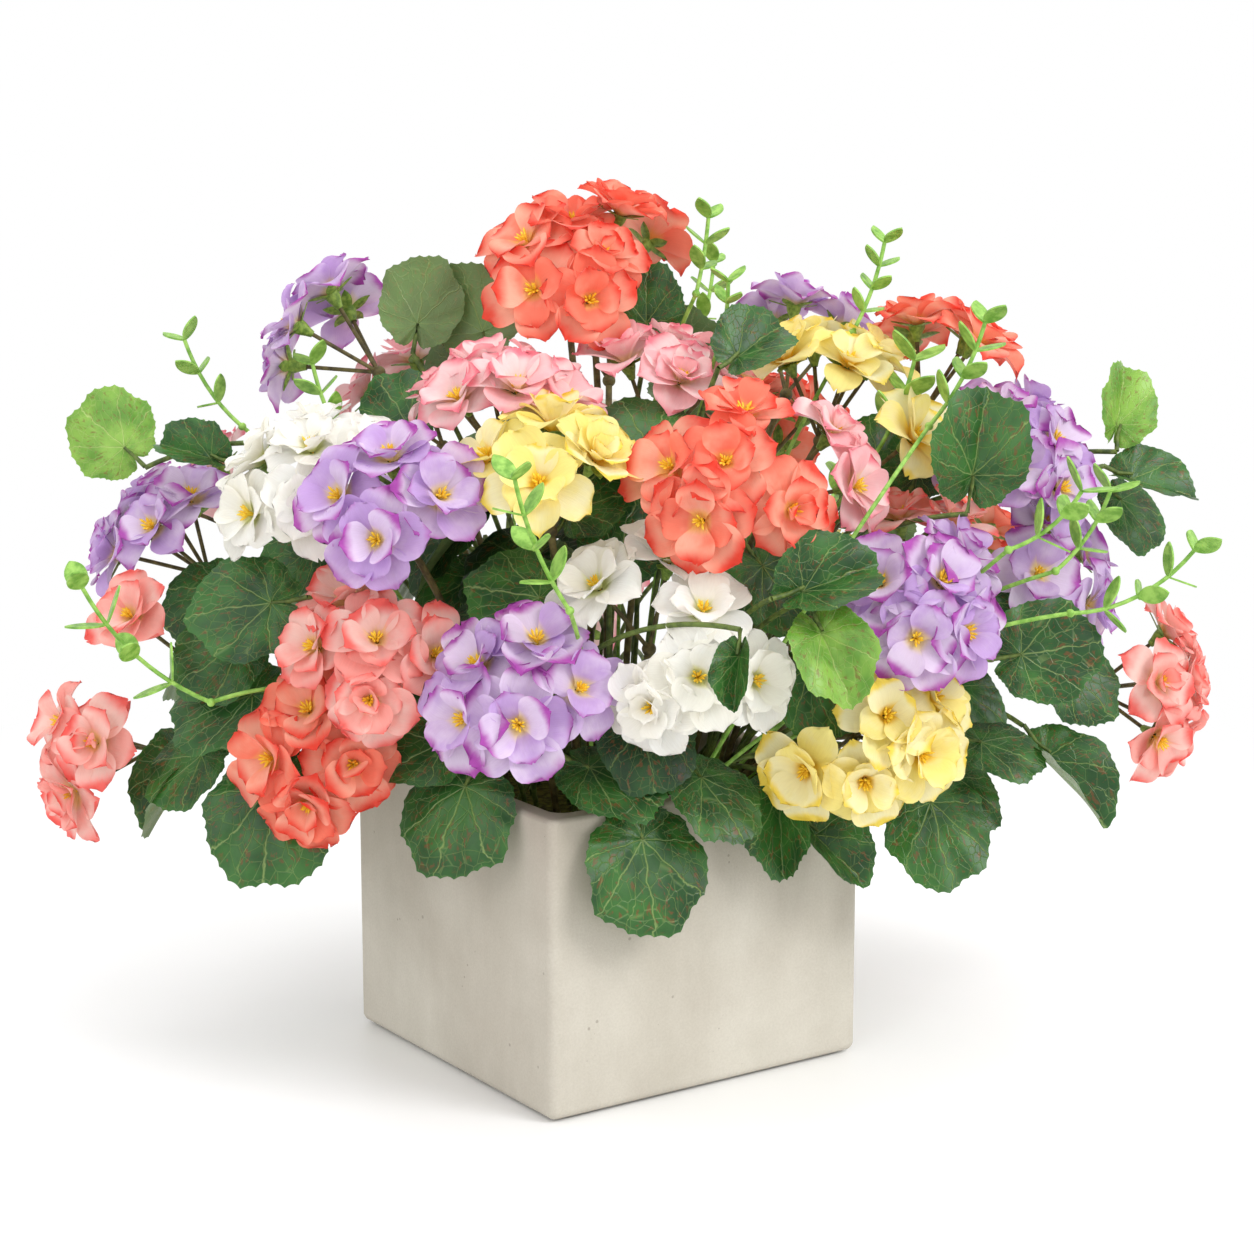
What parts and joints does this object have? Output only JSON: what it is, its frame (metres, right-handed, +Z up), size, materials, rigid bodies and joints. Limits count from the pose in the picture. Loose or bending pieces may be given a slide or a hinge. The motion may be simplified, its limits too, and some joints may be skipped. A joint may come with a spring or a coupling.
{
  "type": "planter box with flower arrangement",
  "caption": "Square cast-cement planter box holding floral foam, moss and a mound of silk begonias, leaves and boxwood sprigs.",
  "frame": {"origin": "middle of the base, on the surface that the box stands on", "axes": "+Z up; X and Y square to the box's faces; the front of the arrangement looks towards -X and -Y"},
  "size_m": [0.4781, 0.4052, 0.3802],
  "materials": {
    "cast_cement": "matte cast surface",
    "pad_felt": "matte felt",
    "floral_foam": "matte dry foam",
    "moss": "matte fibrous",
    "leaf_stalk": "satin",
    "sprig_plastic": "satin moulded",
    "leaf_fabric": "satin printed",
    "coral_petal": "soft silk",
    "pink_petal": "soft silk",
    "purple_petal": "soft silk",
    "white_petal": "soft silk",
    "yellow_petal": "soft silk",
    "peg_plastic": "satin",
    "stem_plastic": "satin"
  },
  "bodies": {
    "planter": {"planter_box": "cast_cement", "base_pad": "pad_felt"},
    "arrangement": {"begonia_leaves_back": "leaf_fabric", "begonia_leaves_crown": "leaf_fabric", "begonia_leaves_front": "leaf_fabric", "begonia_leaves_inner": "leaf_fabric", "begonia_leaves_left": "leaf_fabric", "begonia_leaves_right": "leaf_fabric", "boxwood_sprigs": "sprig_plastic", "coral_back_petals": "coral_petal", "coral_crown_petals": "coral_petal", "coral_crown_right_petals": "coral_petal", "coral_front_left_petals": "coral_petal", "coral_front_petals": "coral_petal", "coral_pegs": "peg_plastic", "coral_stems": "stem_plastic", "coral_tip_petals": "coral_petal", "foam_block": "floral_foam", "leaf_stalks": "leaf_stalk", "moss_cover": "moss", "pink_back_petals": "pink_petal", "pink_crown_left_petals": "pink_petal", "pink_crown_petals": "pink_petal", "pink_front_left_petals": "pink_petal", "pink_left_single_petals": "pink_petal", "pink_mid_right_petals": "pink_petal", "pink_pegs": "peg_plastic", "pink_right_petals": "pink_petal", "pink_stems": "stem_plastic", "purple_back_petals": "purple_petal", "purple_far_left_petals": "purple_petal", "purple_far_right_petals": "purple_petal", "purple_front_petals": "purple_petal", "purple_left_petals": "purple_petal", "purple_pegs": "peg_plastic", "purple_right_petals": "purple_petal", "purple_stems": "stem_plastic", "purple_upper_right_petals": "purple_petal", "white_back_petals": "white_petal", "white_centre_petals": "white_petal", "white_front_petals": "white_petal", "white_left_petals": "white_petal", "white_pegs": "peg_plastic", "white_stems": "stem_plastic", "yellow_back_petals": "yellow_petal", "yellow_crown_right_petals": "yellow_petal", "yellow_front_right_petals": "yellow_petal", "yellow_left_petals": "yellow_petal", "yellow_pegs": "peg_plastic", "yellow_right_low_petals": "yellow_petal", "yellow_stems": "stem_plastic"},
    "purple_crown_left_spray": {"purple_crown_left_stem": "stem_plastic", "purple_crown_left_pegs": "peg_plastic", "purple_crown_left_petals": "purple_petal"},
    "pink_far_left_spray": {"pink_far_left_stem": "stem_plastic", "pink_far_left_pegs": "peg_plastic", "pink_far_left_petals": "pink_petal"},
    "pink_far_right_spray": {"pink_far_right_stem": "stem_plastic", "pink_far_right_pegs": "peg_plastic", "pink_far_right_petals": "pink_petal"}
  },
  "joints": [
    {"name": "lift_out", "type": "slide", "parent": "planter", "child": "arrangement", "axis": [0, 0, 1], "range_m": [0, 0.12]},
    {"name": "purple_crown_left_bend", "type": "hinge", "parent": "arrangement", "child": "purple_crown_left_spray", "pos_m": [-0.049, 0.0603, 0.248], "axis": [0.7761, 0.6306, 0], "range_deg": [-12, 12]},
    {"name": "pink_far_left_bend", "type": "hinge", "parent": "arrangement", "child": "pink_far_left_spray", "pos_m": [-0.12846, 0.09635, 0.14017], "axis": [0.6, 0.8, 0], "range_deg": [-12, 12]},
    {"name": "pink_far_right_bend", "type": "hinge", "parent": "arrangement", "child": "pink_far_right_spray", "pos_m": [0.16103, -0.0707, 0.16731], "axis": [-0.402, -0.9156, 0], "range_deg": [-12, 12]}
  ]
}
